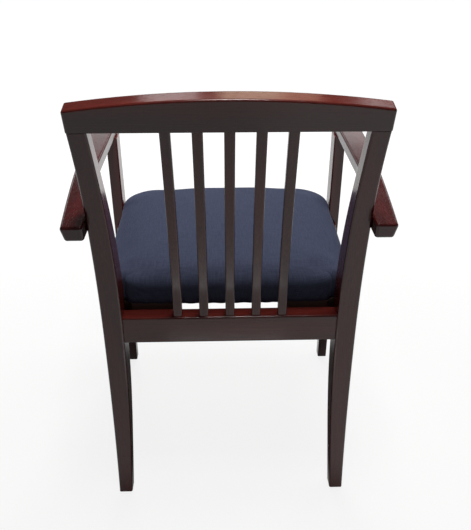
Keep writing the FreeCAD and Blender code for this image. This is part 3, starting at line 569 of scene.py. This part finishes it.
def navy_weave():
    """Plain weave: two sets of threads, each over and under by turns, with slubs and uneven dye.

    The product of a sine across the warp and one across the weft says which thread is on top.
    """
    material, shader, sheet = new_finish("navy_weave", "UV", CLOTH_SHEEN)
    warp = (sheet.part("X") * (math.pi / THREAD_PITCH)).sine()
    weft = (sheet.part("Y") * (math.pi / THREAD_PITCH)).sine()
    weave = 0.5 + 0.5 * (warp * weft)
    warp_slub = sheet.stretched((SLUB_ACROSS, SLUB_ALONG, 1)).noise(1, detail=2, roughness=0.6)
    weft_slub = sheet.stretched((SLUB_ALONG, SLUB_ACROSS, 1)).noise(1, detail=2, roughness=0.6)
    slub = (weave * warp_slub + (1 - weave) * weft_slub).between(0.3, 0.7)
    dye = sheet.noise(140, detail=3, roughness=0.6).between(0.25, 0.75)
    tone = 0.44 * slub + 0.18 * dye + 0.38 * weave
    tone.mixed(tint(40, 44, 62), tint(74, 80, 103)).into(shader, "Base Color")
    (0.86 - 0.1 * slub).into(shader, "Roughness")
    (weave + 0.6 * slub).bump(shader, strength=0.35, distance=0.0004)
    return material


cover.data.materials.append(navy_weave())
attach(cover, "root")
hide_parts("seat_cover", "seat_foam")

# Floor: matt white paper, which keeps the chair's shadow.
# It shows white away from the shadow, and throws little light back up at the chair.
# Where the lacquer mirrors it, it glows dim under the chair, a painted shadow, and bright around it,
# brighter to the sitter's right as painted light.
FLOOR_HALF = 30.0
FLOOR_GREY = 0.16
SHADOW_FADE = (0.5, 2.6)
# Painted shadow and light in the mirrored floor: dim under the chair, brighter to the sitter's right
PAINTED_SHADOW_REACH = (0.25, 0.45)
MIRRORED_LEVEL = 0.95
RIGHT_FROM = (0.0, 0.3)
PAINTED_RIGHT_GLOW = 0.33
# Painted highlight: a lane behind the chair that glows, though no lamp is there, for the slat bends to
# mirror
LANE_NEAR = (0.58, 0.66)
LANE_FAR = (0.71, 0.76)
LANE_HALF_SQUARED = (0.02, 0.036)
PAINTED_LANE_GLOW = 2
floor_points = np.array([[-1, -1, 0], [1, -1, 0], [1, 1, 0], [-1, 1, 0]]) * FLOOR_HALF
floor = new_piece("floor", floor_points, [(0, 1, 2, 3)])


def seen_and_mirrored(tree):
    """1 for rays that show a surface straight or through glass, then 1 for those that mirror it."""
    path = tree.nodes.new("ShaderNodeLightPath")
    kinds = ("Camera", "Transmission", "Glossy")
    straight, through_glass, mirrored = (Socket(tree, path.outputs[f"Is {kind} Ray"]) for kind in kinds)
    return straight + through_glass, mirrored


def white_paper():
    """Grey paper that glows by what it lacks of white, where it is seen straight.

    Where it is mirrored, it glows dim near the middle, a painted shadow under the chair, and bright
    further out, with more to the sitter's right as painted light. A glowing lane behind the chair, painted
    light with no lamp there, shows as a painted highlight in the bends of the slats.
    """
    material = bpy.data.materials.new("white_paper")
    material.use_nodes = True
    tree = material.node_tree
    tree.nodes.remove(tree.nodes["Principled BSDF"])
    seen, mirrored = seen_and_mirrored(tree)
    place = Socket(tree, tree.nodes.new("ShaderNodeTexCoord").outputs["Object"])
    distance = place.node("ShaderNodeVectorMath", {"operation": "LENGTH"}, {0: place}, "Value")
    across, back = place.part("X"), place.part("Y")
    white = 1 - FLOOR_GREY + FLOOR_GREY * distance.between(*SHADOW_FADE)
    right = (0 - across).between(*RIGHT_FROM)
    # Painted shadow under the chair and painted light to its right, in what the lacquer mirrors
    around = distance.between(*PAINTED_SHADOW_REACH) * (MIRRORED_LEVEL + PAINTED_RIGHT_GLOW * right)
    # Painted highlight: the glowing lane that the slat bends mirror
    lane_width = 1 - (across * across).between(*LANE_HALF_SQUARED)
    lane = back.between(*LANE_NEAR) * (1 - back.between(*LANE_FAR)) * lane_width
    glow = seen * white + mirrored * (around + PAINTED_LANE_GLOW * lane)
    light = place.node("ShaderNodeEmission", {}, {"Strength": glow})
    paper = place.node("ShaderNodeBsdfDiffuse", {}, {"Color": (FLOOR_GREY, FLOOR_GREY, FLOOR_GREY, 1)})
    surface = place.node("ShaderNodeAddShader", {}, {0: paper, 1: light})
    surface.into(tree.nodes["Material Output"], "Surface")
    return material


floor.data.materials.append(white_paper())

# Studio: a white room that lends little light, soft boxes overhead and in front, and one above the back.
# A narrow box above the back only glints in the lacquer's edges.
# Panels in front are mirrored in the crest's top and in the arms.
ROOM_LIGHT = 0.03
ROOM_MIRRORED = 0.08
world = bpy.data.worlds.new("white_room")
bpy.context.scene.world = world
world.use_nodes = True
room = world.node_tree
room_seen, room_mirrored = seen_and_mirrored(room)
room_strength = ROOM_LIGHT + (1 - ROOM_LIGHT) * room_seen + (ROOM_MIRRORED - ROOM_LIGHT) * room_mirrored
backdrop = room_seen.node("ShaderNodeBackground", {}, {"Strength": room_strength, "Color": (1, 1, 1, 1)})
backdrop.into(room.nodes["World Output"], "Surface")


def soft_box(name, place, target, size, power, colour=(1, 1, 1), mirrored=True, lighting=True):
    """A flat lamp of this width and height in metres that faces its target."""
    lamp = bpy.data.lights.new(name, "AREA")
    lamp.shape = "RECTANGLE"
    lamp.size, lamp.size_y = size
    lamp.energy = power
    lamp.color = colour
    box = bpy.data.objects.new(name, lamp)
    box.location = place
    box.rotation_euler = (Vector(target) - Vector(place)).to_track_quat("-Z", "Y").to_euler()
    box.visible_camera = False
    box.visible_glossy = mirrored
    box.visible_diffuse = lighting
    bpy.context.scene.collection.objects.link(box)


PANEL_Z = 2.876
PANEL_HEIGHT = 0.5
seat_middle = (0, 0, 0.45)
crest_middle = (0, 0.27, 0.83)
above_back = (-0.06, 0.5, 2.75)
soft_box("overhead_box", (-0.4, -0.45, 2.6), seat_middle, size=(0.8, 0.8), power=24, mirrored=False)
soft_box("front_box", (0.2, -2.4, 1.45), seat_middle, size=(1.6, 0.9), power=30, mirrored=False)
soft_box("rear_box", above_back, seat_middle, size=(0.4, 0.5), power=17, mirrored=False)
soft_box("glint_box", above_back, seat_middle, size=(0.26, 0.5), power=60, lighting=False)
soft_box("low_panel", (0, -3.2, 1.8), crest_middle, size=(5.0, 0.55), power=14)


def crest_panel(name, x, y, width, power, colour=(1, 1, 1)):
    """A panel at the height where the camera sees it mirrored in the crest's top."""
    soft_box(name, (x, y, PANEL_Z), crest_middle, (width, PANEL_HEIGHT), power, colour)


crest_panel("pale_panel", 0.457, -1.88, width=0.46, power=2.3)
crest_panel("warm_panel", -0.229, -1.91, width=0.535, power=3.2, colour=(1, 0.8, 0.6))
crest_panel("amber_panel", -0.66, -1.9, width=0.32, power=1.25, colour=(1, 0.6, 0.44))
crest_panel("side_panel", -1.34, -1.8, width=0.36, power=1.4)

# Camera: behind the chair and above its crest, looking down at the seat.
# Its focal length is in pixels. The picture is taller than wide, so its height spans the sensor.
PICTURE_HEIGHT = 530
FOCAL_PIXELS = 594.7
SENSOR = 36.0
CAMERA_PLACE = (0.01507, 1.14531, 1.02163)
CAMERA_PITCH = math.radians(28.061)
CAMERA_YAW = math.radians(1.547)
camera_data = bpy.data.cameras.new("camera")
camera_data.sensor_width = SENSOR
camera_data.lens = FOCAL_PIXELS * SENSOR / PICTURE_HEIGHT
camera = bpy.data.objects.new("camera", camera_data)
camera.location = CAMERA_PLACE
camera.rotation_euler = (math.pi / 2 - CAMERA_PITCH, 0, math.pi - CAMERA_YAW)
bpy.context.scene.collection.objects.link(camera)
bpy.context.scene.camera = camera
bpy.context.scene.view_settings.view_transform = "Standard"
